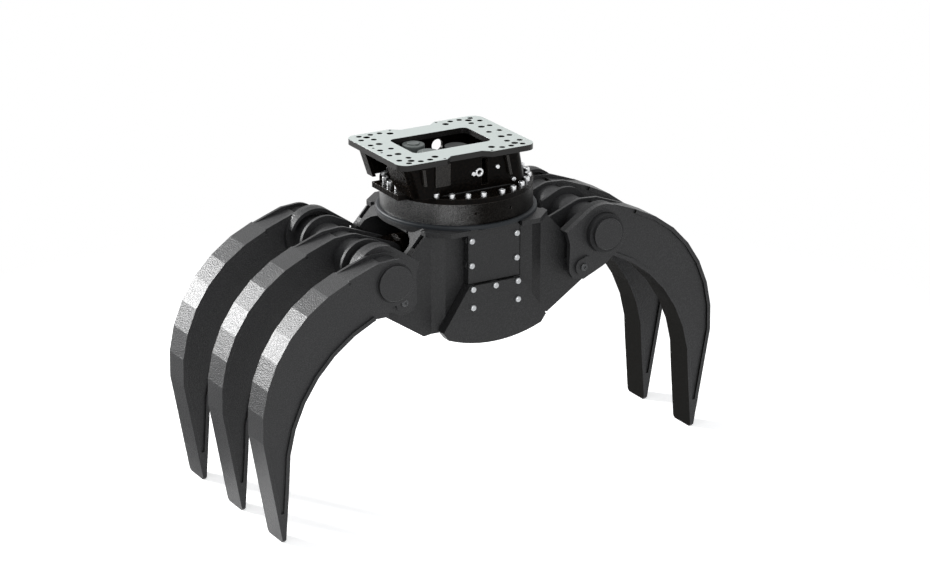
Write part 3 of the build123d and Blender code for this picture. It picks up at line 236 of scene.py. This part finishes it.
def fine_grain_effect():
    """Skin of paint or steel: speckle, mottling and a bumpy height, plus lighter edges that are worn paint
    and a painted edge highlight together.
    """
    speck_detail = 2.0
    mottle_scale, mottle_detail = 5.0, 5.0
    speck_start, speck_full = 0.42, 0.68
    edge_rays = 4
    edge_start, edge_full = 0.995, 0.90                 # cosine of the turn that a corner gives
    group = bpy.data.node_groups.new("fine_grain", "ShaderNodeTree")
    for name, kind, value in (("Colour", "NodeSocketColor", (0.1, 0.1, 0.1, 1.0)),
                              ("Speckle", "NodeSocketColor", (0.2, 0.2, 0.2, 1.0)),
                              ("Edge", "NodeSocketColor", (0.3, 0.3, 0.3, 1.0)),
                              ("Grain", "NodeSocketFloat", 420.0),
                              ("Rough low", "NodeSocketFloat", 0.35),
                              ("Rough high", "NodeSocketFloat", 0.55),
                              ("Corner", "NodeSocketFloat", 0.0015)):
        socket = group.interface.new_socket(name, in_out="INPUT", socket_type=kind)
        socket.default_value = value
    for name, kind in (("Colour", "NodeSocketColor"), ("Roughness", "NodeSocketFloat"),
                       ("Height", "NodeSocketFloat"), ("Normal", "NodeSocketVector")):
        group.interface.new_socket(name, in_out="OUTPUT", socket_type=kind)
    entry = group.nodes.new("NodeGroupInput").outputs
    leave = group.nodes.new("NodeGroupOutput").inputs
    place = group.nodes.new("ShaderNodeTexCoord").outputs["Object"]
    speck = noise(group, place, entry["Grain"], speck_detail)
    mottle = noise(group, place, mottle_scale, mottle_detail)
    veil = worked_out(group, "MULTIPLY", ramp(group, speck, speck_start, speck_full), mottle)
    tone = mixed(group, "RGBA", veil, entry["Colour"], entry["Speckle"])
    rounded = group.nodes.new("ShaderNodeBevel")
    rounded.samples = edge_rays
    group.links.new(entry["Corner"], rounded.inputs["Radius"])
    flat = group.nodes.new("ShaderNodeNewGeometry").outputs["Normal"]
    turn = group.nodes.new("ShaderNodeVectorMath")
    turn.operation = "DOT_PRODUCT"
    group.links.new(rounded.outputs[0], turn.inputs[0])
    group.links.new(flat, turn.inputs[1])
    edge = ramp(group, turn.outputs["Value"], edge_start, edge_full)
    # lighter edges: worn paint, with a painted edge highlight on top
    edge_wear_and_highlight = worked_out(group, "MULTIPLY", edge, mottle)
    group.links.new(mixed(group, "RGBA", edge_wear_and_highlight, tone, entry["Edge"]), leave["Colour"])
    gloss = ramp(group, veil, 0.0, 1.0, entry["Rough high"], entry["Rough low"])
    group.links.new(gloss, leave["Roughness"])
    group.links.new(speck, leave["Height"])
    group.links.new(rounded.outputs[0], leave["Normal"])
    return group


fine_grain = fine_grain_effect()


def coated(name, colour, speckle, edge, grain, rough, bump, metal=0.0, sheen=0.5, corner=0.0015):
    """A painted or machined finish: three tones, grains per metre, roughness and bump."""
    finish = bpy.data.materials.new(name)
    finish.use_nodes = True
    tree = finish.node_tree
    surface = tree.nodes["Principled BSDF"].inputs
    surface["Metallic"].default_value = metal
    surface["Specular IOR Level"].default_value = sheen
    grit = tree.nodes.new("ShaderNodeGroup")
    grit.node_tree = fine_grain
    values = {"Colour": (*colour, 1.0), "Speckle": (*speckle, 1.0), "Edge": (*edge, 1.0), "Grain": grain,
              "Rough low": rough[0], "Rough high": rough[1], "Corner": corner}
    for socket, value in values.items():
        grit.inputs[socket].default_value = value
    relief = tree.nodes.new("ShaderNodeBump")
    relief.inputs["Strength"].default_value = bump
    relief.inputs["Distance"].default_value = relief_depth
    tree.links.new(grit.outputs["Height"], relief.inputs["Height"])
    tree.links.new(grit.outputs["Normal"], relief.inputs["Normal"])
    tree.links.new(grit.outputs["Colour"], surface["Base Color"])
    tree.links.new(grit.outputs["Roughness"], surface["Roughness"])
    tree.links.new(relief.outputs[0], surface["Normal"])
    return finish


def opened(finish):
    """Node tree, shader inputs and grain outputs of a finish that gets a second tone."""
    tree = finish.node_tree
    return tree, tree.nodes["Principled BSDF"].inputs, tree.nodes["Group"].outputs


def wear(finish, *names):
    """Give the named CAD pieces one finish."""
    for name in names:
        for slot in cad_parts[name].material_slots:
            slot.material = finish


primer = coated("grey_green_primer", colour=(0.50, 0.545, 0.525), speckle=(0.60, 0.64, 0.62),
                edge=(0.72, 0.74, 0.73), grain=700.0, rough=(0.55, 0.75), bump=0.15, sheen=0.35)
primer_tree, primer_face, primer_grit = opened(primer)
upward = along_axes(primer_tree, primer_tree.nodes.new("ShaderNodeNewGeometry").outputs["True Normal"])["Z"]
level = ramp(primer_tree, upward, level_start, level_full)
# primer only on faces that face up, painted shade black on the rest
primer_and_shade_tone = mixed(primer_tree, "RGBA", level, side_shade_black, primer_grit["Colour"])
primer_tree.links.new(primer_and_shade_tone, primer_face["Base Color"])
primer_rough = mixed(primer_tree, "FLOAT", level, side_shade_rough, primer_grit["Roughness"])
primer_tree.links.new(primer_rough, primer_face["Roughness"])
wear(primer, "adapter_plate")

# Adapter walls, ribs and base flange: cut and bent steel plate, welded up and painted
# gloss black. The ribs on the front wall stand proud and get a lighter black with lighter
# edges: rubbed paint, with a painted highlight on top.
gloss_black = coated("gloss_black", colour=(0.0014, 0.0012, 0.0010), speckle=(0.014, 0.0095, 0.0070),
                     edge=(0.09, 0.075, 0.065), grain=110.0, rough=(0.12, 0.30), bump=0.8, sheen=0.05,
                     corner=0.0025)
wear(gloss_black, "adapter_side_walls", "adapter_end_walls", "adapter_base_flange")
# a lighter black for the ribs: rubbed paint and painted highlight together
rib_highlit_black = coated("rib_highlit_black", colour=(0.012, 0.011, 0.010), speckle=(0.060, 0.055, 0.050),
                    edge=(0.26, 0.24, 0.22), grain=200.0, rough=(0.25, 0.45), bump=0.6, sheen=0.25,
                    corner=0.003)
wear(rib_highlit_black, "adapter_wall_ribs")

# Ring bolts and port unions: zinc-plated steel, screwed into the base flange and the walls.
# The cover bolts are zinc-plated too but duller, and the grease points are gloss black.
zinc = coated("bright_zinc", colour=(0.72, 0.73, 0.74), speckle=(0.85, 0.86, 0.88), edge=(0.95, 0.95, 0.95),
              grain=900.0, rough=(0.18, 0.32), bump=0.10, metal=1.0)
wear(zinc, "ring_bolts", "hose_fittings")
dull_zinc = coated("dull_zinc", colour=(0.42, 0.43, 0.44), speckle=(0.60, 0.61, 0.62),
                   edge=(0.85, 0.85, 0.85), grain=900.0, rough=(0.24, 0.38), bump=0.10, metal=1.0)
wear(dull_zinc, "cover_bolts")
wear(gloss_black, "grease_nipples")

# Slew motors and rotary union: cast iron housings, bolted on the adapter's base flange. The
# motors' dark grey-green caps stand in the plate's window, with the union between them.
motor_green = coated("motor_grey_green", colour=(0.085, 0.10, 0.095), speckle=(0.13, 0.145, 0.14),
                     edge=(0.25, 0.26, 0.25), grain=500.0, rough=(0.35, 0.5), bump=0.2)
wear(motor_green, "slew_motors")
union_paint = coated("union_dark_grey", colour=(0.020, 0.022, 0.022), speckle=(0.035, 0.037, 0.037),
                     edge=(0.08, 0.08, 0.08), grain=500.0, rough=(0.40, 0.55), bump=0.2, sheen=0.3)
wear(union_paint, "rotary_union_body")

# Slewing ring, pinions and union spindle: turned and hardened steel, dark with grease and
# faint turning marks, bolted between the base flange and the deck.
ring_steel = coated("dark_turned_steel", colour=(0.0028, 0.0024, 0.0021), speckle=(0.032, 0.030, 0.028),
                    edge=(0.14, 0.13, 0.12), grain=320.0, rough=(0.26, 0.38), bump=0.50, metal=1.0)
wear(ring_steel, "slewing_gear_ring", "slewing_rollers", "front_drive_pinion", "rear_drive_pinion",
     "rotary_union_spindle")

# Outer ring: the same turned steel, bolted under the base flange. Its colour is lighter
# on the faces that turn to the left: a painted highlight on its left side.
ring_highlight_start, ring_highlight_full = -0.15, -0.80                  # x of the normal
ring_highlight_fine, ring_highlight_coarse = 0.35, 0.65                   # height of the grain
ring_highlight_dark, ring_highlight_bright = 0.03, 0.20
highlit_ring_steel = ring_steel.copy()
highlit_ring_steel.name = "ring_steel_with_painted_highlight"
ring_highlight_tree, ring_highlight_face, ring_highlight_grit = opened(highlit_ring_steel)
leftward = along_axes(ring_highlight_tree, ring_highlight_tree.nodes.new("ShaderNodeTexCoord").outputs["Normal"])["X"]
# painted highlight: a lighter colour on the faces that turn to the left
ring_highlight_mask = ramp(ring_highlight_tree, leftward, ring_highlight_start, ring_highlight_full, curve="SMOOTHSTEP")
ring_highlight_grey = ramp(ring_highlight_tree, ring_highlight_grit["Height"], ring_highlight_fine, ring_highlight_coarse, ring_highlight_dark, ring_highlight_bright)
ring_highlight_tone = mixed(ring_highlight_tree, "RGBA", ring_highlight_mask, ring_highlight_grit["Colour"], ring_highlight_grey)
ring_highlight_tree.links.new(ring_highlight_tone, ring_highlight_face["Base Color"])
wear(highlit_ring_steel, "slewing_outer_ring")

# Frame: thick bent steel plates welded into a box, in fine-grained satin charcoal paint. The
# covers and guards are cut from thinner plate and bolted on, and the cross plates inside
# are gloss black, as painted shade in the frame's dark opening.
charcoal = coated("satin_charcoal", colour=(0.012, 0.0122, 0.0127), speckle=(0.034, 0.0345, 0.036),
                  edge=(0.060, 0.062, 0.065), grain=210.0, rough=(0.34, 0.46), bump=1.1, sheen=0.32)
wear(charcoal, "frame_rear_plate", "deck_plate", "front_upper_cover", "rear_upper_cover",
     "front_lower_guard", "rear_lower_guard")
# gloss black cross plates: painted shade inside the frame
wear(gloss_black, "frame_cross_plates")

# Deck collar: a rolled steel ring welded round the foot of the slewing ring,
# in a duller paint that leans to blue.
collar_blue = coated("blue_grey_collar", colour=(0.012, 0.0145, 0.0175), speckle=(0.022, 0.026, 0.030),
                     edge=(0.05, 0.055, 0.06), grain=420.0, rough=(0.40, 0.55), bump=0.2, sheen=0.25)
wear(collar_blue, "deck_collar")

# Front plate: the frame's bent front, painted like the rest. Its slanted edges and its
# right-hand bend are painted shade: near black, with little sheen.
slanted_edge_tilt, slanted_edge_spread = 0.67, 0.12                 # z of the normal on the slanted edges
bend_start, bend_full, bend_shade = 0.20, 0.50, 0.70      # x of the normal, and how dark the painted shade gets
front_shade_black = (0.0012, 0.0012, 0.0012, 1.0)
unshaded_sheen, shaded_sheen = 0.32, 0.03
front_plate_shade = charcoal.copy()
front_plate_shade.name = "charcoal_with_painted_shade"
front_shade_tree, front_shade_face, front_shade_grit = opened(front_plate_shade)
facing = along_axes(front_shade_tree, front_shade_tree.nodes.new("ShaderNodeTexCoord").outputs["Normal"])
# painted shade on the slanted edges and on the right-hand bend
slanted_edge_shade = worked_out(front_shade_tree, "COMPARE", facing["Z"], slanted_edge_tilt, slanted_edge_spread)
on_bend = ramp(front_shade_tree, facing["X"], bend_start, bend_full, high=bend_shade)
front_shade_mask = worked_out(front_shade_tree, "MAXIMUM", slanted_edge_shade, on_bend)
front_shade_tone = mixed(front_shade_tree, "RGBA", front_shade_mask, front_shade_grit["Colour"], front_shade_black)
front_shade_tree.links.new(front_shade_tone, front_shade_face["Base Color"])
front_shade_sheen = mixed(front_shade_tree, "FLOAT", front_shade_mask, unshaded_sheen, shaded_sheen)
front_shade_tree.links.new(front_shade_sheen, front_shade_face["Specular IOR Level"])
wear(front_plate_shade, "frame_front_plate")

# Shoulder plates: slanted steel plates welded between the deck and the wings. The same
# charcoal paint, duller where the sawdust slides off.
shoulder_paint = coated("dull_shoulder_paint", colour=(0.009, 0.0092, 0.0096),
                        speckle=(0.024, 0.0245, 0.026), edge=(0.050, 0.052, 0.055), grain=230.0,
                        rough=(0.46, 0.60), bump=0.8, sheen=0.20)
wear(shoulder_paint, "shoulder_plates")

# Jaws: lugs, webs and box-section tines welded from cut and bent plate, in the same charcoal
# paint with a stronger grain. Their other pieces get a finish of their own further down.
jaw_charcoal = coated("jaw_charcoal", colour=(0.014, 0.0142, 0.015), speckle=(0.044, 0.0445, 0.046),
                      edge=(0.060, 0.062, 0.065), grain=215.0, rough=(0.30, 0.43), bump=1.15, sheen=0.36)
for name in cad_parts:
    if name.startswith(("left_jaw", "right_jaw")):
        wear(jaw_charcoal, name)

# Torsion tubes and ribs: thick tube and cut plate, welded to the tines. The jaws' paint,
# dulled by the bark dust that packs in between them.
dusty_paint = coated("dusty_charcoal", colour=(0.0125, 0.0127, 0.0134), speckle=(0.036, 0.0365, 0.038),
                     edge=(0.055, 0.057, 0.060), grain=240.0, rough=(0.46, 0.60), bump=0.9, sheen=0.26)
wear(dusty_paint, "left_jaw_torsion_tube", "left_jaw_ribs", "right_jaw_torsion_tube", "right_jaw_ribs")

# Tine flanges and tips: bent from flat facets and welded round the side plates. The jaws'
# paint again, darker, rougher and less glossy as painted shade on the faces towards the other jaw.
inner_shade_start, inner_shade_full = 0.02, 0.20                        # x of the normal, towards the other jaw
inner_shade_sheen, inner_shade_rough = 0.04, 0.85
inner_shade_colour = (0.0058, 0.0056, 0.0050, 1.0)


def shaded_inside(name, inward):
    """The jaw's paint, with painted shade on the side that faces inwards along x."""
    inner_shaded = jaw_charcoal.copy()
    inner_shaded.name = name
    tree, surface, grit = opened(inner_shaded)
    sideways = along_axes(tree, tree.nodes.new("ShaderNodeTexCoord").outputs["Normal"])["X"]
    # painted shade on the faces that turn towards the other jaw
    dull = ramp(tree, sideways, inner_shade_start * inward, inner_shade_full * inward)
    own_sheen = surface["Specular IOR Level"].default_value
    tree.links.new(mixed(tree, "FLOAT", dull, own_sheen, inner_shade_sheen), surface["Specular IOR Level"])
    tree.links.new(mixed(tree, "FLOAT", dull, grit["Roughness"], inner_shade_rough), surface["Roughness"])
    tree.links.new(mixed(tree, "RGBA", dull, grit["Colour"], inner_shade_colour), surface["Base Color"])
    return inner_shaded


for jaw, inward in (("left_jaw", 1.0), ("right_jaw", -1.0)):
    inner_shade_paint = shaded_inside(jaw + "_inner_painted_shade", inward)
    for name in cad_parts:
        if name.startswith(jaw) and name.endswith(("_flanges", "_tips")):
            wear(inner_shade_paint, name)

# Hinge pins and bushes: ground and greased steel, pressed in. The two cylinder pins
# inside are blued.
pin_steel = coated("ground_pin_steel", colour=(0.42, 0.42, 0.42), speckle=(0.55, 0.55, 0.55),
                   edge=(0.75, 0.75, 0.75), grain=600.0, rough=(0.22, 0.35), bump=0.10, metal=1.0)
wear(pin_steel, "left_jaw_hinge_pins", "right_jaw_hinge_pins", "hinge_bushes")
blued_steel = coated("blued_steel", colour=(0.020, 0.020, 0.022), speckle=(0.035, 0.035, 0.038),
                     edge=(0.10, 0.10, 0.11), grain=600.0, rough=(0.30, 0.45), bump=0.10, metal=1.0)
wear(blued_steel, "left_jaw_cylinder_pin", "right_jaw_cylinder_pin")

# Keeper screws: phosphated steel socket screws that hold the pins' keepers to the lugs,
# with lighter edges: rubbed metal, with a painted highlight on top.
phosphated = coated("phosphated_steel", colour=(0.060, 0.062, 0.064), speckle=(0.12, 0.122, 0.125),
                    edge=(0.30, 0.30, 0.30), grain=700.0, rough=(0.28, 0.42), bump=0.15, metal=1.0)
wear(phosphated, "left_jaw_keeper_bolts", "right_jaw_keeper_bolts")

# Closing cylinder: a steel barrel and gland painted gloss black, with a hard chrome rod.
# It lies across inside the frame, pinned to the jaws' crank arms.
wear(gloss_black, "cylinder_barrel", "cylinder_gland")
chrome = coated("hard_chrome", colour=(0.62, 0.63, 0.65), speckle=(0.70, 0.71, 0.73), edge=(0.8, 0.8, 0.8),
                grain=800.0, rough=(0.06, 0.14), bump=0.04, metal=1.0)
wear(chrome, "cylinder_rod", "cylinder_piston")

# Weld beads: hand-laid fillet welds round the right torsion tube and the left tube's end caps,
# and along the foot of the adapter's front wall. They are rippled and painted charcoal.
bead_paint = coated("painted_weld", colour=(0.010, 0.0102, 0.0106), speckle=(0.030, 0.0305, 0.032),
                    edge=(0.06, 0.062, 0.065), grain=120.0, rough=(0.32, 0.48), bump=1.0, sheen=0.3)
bead_pitch = 0.008                                      # one ripple of the weld
bead_swells = (1.1, 0.8)                                # shares of the bead's size along a ripple
strip_facets = 3                                        # fineness of a round strip's section
bead_size, cap_bead_size = 0.0030, 0.0022
tube_bead_proud, tube_bead_sunk = 0.0025, 0.0015        # off the tube, and into the lug's face
cap_bead_proud, cap_bead_off = 0.0020, 0.0005           # off the cap, and off the tube's end
wall_bead_off = 0.0005                                  # off the wall and off the flange
wall_bead_left, wall_bead_right = -0.10, 0.19


def round_strip(name, body, points, size, finish, swells=(1.0,), closed=False, capped=False):
    """A round strip through the points, riding on its body."""
    line = bpy.data.curves.new(name, "CURVE")
    line.dimensions = "3D"
    line.bevel_depth = size
    line.bevel_resolution = strip_facets
    line.use_fill_caps = capped
    run = line.splines.new("POLY")
    run.points.add(len(points) - 1)
    for index, (place, point) in enumerate(zip(run.points, points)):
        place.co = (*point, 1.0)
        place.radius = swells[index % len(swells)]
    run.use_cyclic_u = closed
    line.materials.append(finish)
    strip = bpy.data.objects.new(name, line)
    bpy.context.scene.collection.objects.link(strip)
    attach(strip, body)


def straight_seam(start, end):
    """Points along a straight seam, half a ripple apart."""
    count = max(2, int((end - start).length / bead_pitch * 2))
    return [start.lerp(end, step / count) for step in range(count + 1)]


def round_seam(centre, radius):
    """Points round a seam in a plane across y, half a ripple apart or a little less."""
    count = int(math.pi * radius / bead_pitch) * 4
    turns = [2 * math.pi * step / count for step in range(count)]
    return [centre + Vector((radius * math.cos(turn), 0.0, radius * math.sin(turn))) for turn in turns]


def across(node):
    """Middle and radius of a round CAD piece that lies along y."""
    low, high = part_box(node)
    return (low + high) / 2, (high.z - low.z) / 2


tube_middle, tube_radius = across("right_jaw_torsion_tube")
cap_middle, cap_radius = across("left_jaw_tube_caps")
tube_bead_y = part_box("right_jaw_lugs")[1].y - tube_bead_sunk
cap_bead_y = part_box("left_jaw_torsion_tube")[1].y + cap_bead_off
for side, end in ((-1, "front"), (1, "rear")):
    tube_seam = round_seam(tube_middle + Vector((0.0, side * tube_bead_y, 0.0)),
                           tube_radius + tube_bead_proud)
    cap_seam = round_seam(cap_middle + Vector((0.0, side * cap_bead_y, 0.0)), cap_radius + cap_bead_proud)
    round_strip("right_tube_weld_" + end, "right_jaw", tube_seam, bead_size, bead_paint, bead_swells,
                closed=True)
    round_strip("left_cap_weld_" + end, "left_jaw", cap_seam, cap_bead_size, bead_paint, bead_swells,
                closed=True)
wall_bead_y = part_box("adapter_side_walls")[0].y - wall_bead_off
wall_bead_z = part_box("adapter_base_flange")[1].z + wall_bead_off
wall_seam = straight_seam(Vector((wall_bead_left, wall_bead_y, wall_bead_z)),
                          Vector((wall_bead_right, wall_bead_y, wall_bead_z)))
round_strip("adapter_wall_weld", "adapter", wall_seam, bead_size, bead_paint, bead_swells)

# Cover shadow gaps: a thin black strip round the right and lower edges of each upper
# cover, and another in the slot along its upper edge, as painted shadow in the gaps.
# black strips: painted shadow in the gaps round the covers
gap_shade_black = coated("gap_shade_black", colour=(0.0015, 0.0015, 0.0015), speckle=(0.004, 0.004, 0.004),
                     edge=(0.01, 0.01, 0.01), grain=500.0, rough=(0.6, 0.8), bump=0.3, sheen=0.05)
gap_shade_size = 0.0024
gap_shade_inset, gap_shade_start = 0.003, 0.0065                  # in from the right and top edges, and from the left
gap_shade_below, gap_shade_sunk = 0.0015, 0.0018                  # under the lower edge, and behind the cover's face
slot_from_left, slot_from_right = 0.0485, 0.066
slot_from_top, slot_sunk = 0.0032, 0.0020
cover_low, cover_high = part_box("front_upper_cover")
gap_shade_right, gap_shade_left = cover_high.x - gap_shade_inset, cover_low.x + gap_shade_start
gap_shade_top, gap_shade_foot = cover_high.z - gap_shade_inset, cover_low.z - gap_shade_below
slot_left, slot_right = cover_low.x + slot_from_left, cover_high.x - slot_from_right
slot_height = cover_high.z - slot_from_top
for side, end in ((1, "front"), (-1, "rear")):
    edge_y, slot_y = side * (cover_low.y + gap_shade_sunk), side * (cover_low.y + slot_sunk)
    round_strip("cover_gap_shade_" + end, "frame",
                [(gap_shade_right, edge_y, gap_shade_top), (gap_shade_right, edge_y, gap_shade_foot),
                 (gap_shade_left, edge_y, gap_shade_foot)],
                gap_shade_size, gap_shade_black, capped=True)
    round_strip("cover_slot_shade_" + end, "frame",
                [(slot_left, slot_y, slot_height), (slot_right, slot_y, slot_height)],
                gap_shade_size, gap_shade_black, capped=True)

# Weld reliefs: small round notches burnt into the edges of the left jaw's outer flanges,
# where the side plates rise past them. They are black inside, as painted shade in the notch.
# black inside the notches: painted shade
notch_shade_black = coated("notch_shade_black", colour=(0.002, 0.002, 0.002), speckle=(0.006, 0.006, 0.006),
                     edge=(0.02, 0.02, 0.02), grain=400.0, rough=(0.6, 0.8), bump=0.3, sheen=0.1)
notch_sides = 20
notch_rings = ((0.0044, 0.0004), (0.0040, -0.0004), (0.0026, 0.0), (0.0012, 0.0022))    # radius, and along y
notch_left, notch_rise = 0.186, 0.032                   # from the middle of the torsion tube
notch_proud = 0.0003


def notch(name, body, place):
    """A short countersunk plug, dished in the middle, in the flange's edge."""
    form = bmesh.new()
    turns = [2 * math.pi * step / notch_sides for step in range(notch_sides)]
    loops = [[form.verts.new((place[0] + radius * math.cos(turn), place[1] + along,
                              place[2] + radius * math.sin(turn))) for turn in turns]
             for radius, along in notch_rings]
    for outer, inner in zip(loops, loops[1:]):
        for step in range(notch_sides):
            following = (step + 1) % notch_sides
            form.faces.new((outer[step], outer[following], inner[following], inner[step]))
    form.faces.new(loops[-1])
    bmesh.ops.recalc_face_normals(form, faces=form.faces)
    shape = bpy.data.meshes.new(name)
    form.to_mesh(shape)
    form.free()
    shape.materials.append(notch_shade_black)
    plug = bpy.data.objects.new(name, shape)
    bpy.context.scene.collection.objects.link(plug)
    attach(plug, body)


for number, tine in enumerate(("front", "middle", "rear"), 1):
    flange_low, flange_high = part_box("left_jaw_" + tine + "_tine_flanges")
    for edge, notch_y in (("near", flange_low.y - notch_proud), ("far", flange_high.y + notch_proud)):
        notch("left_relief_" + str(number) + "_" + edge, "left_jaw",
              (cap_middle.x - notch_left, notch_y, cap_middle.z + notch_rise))
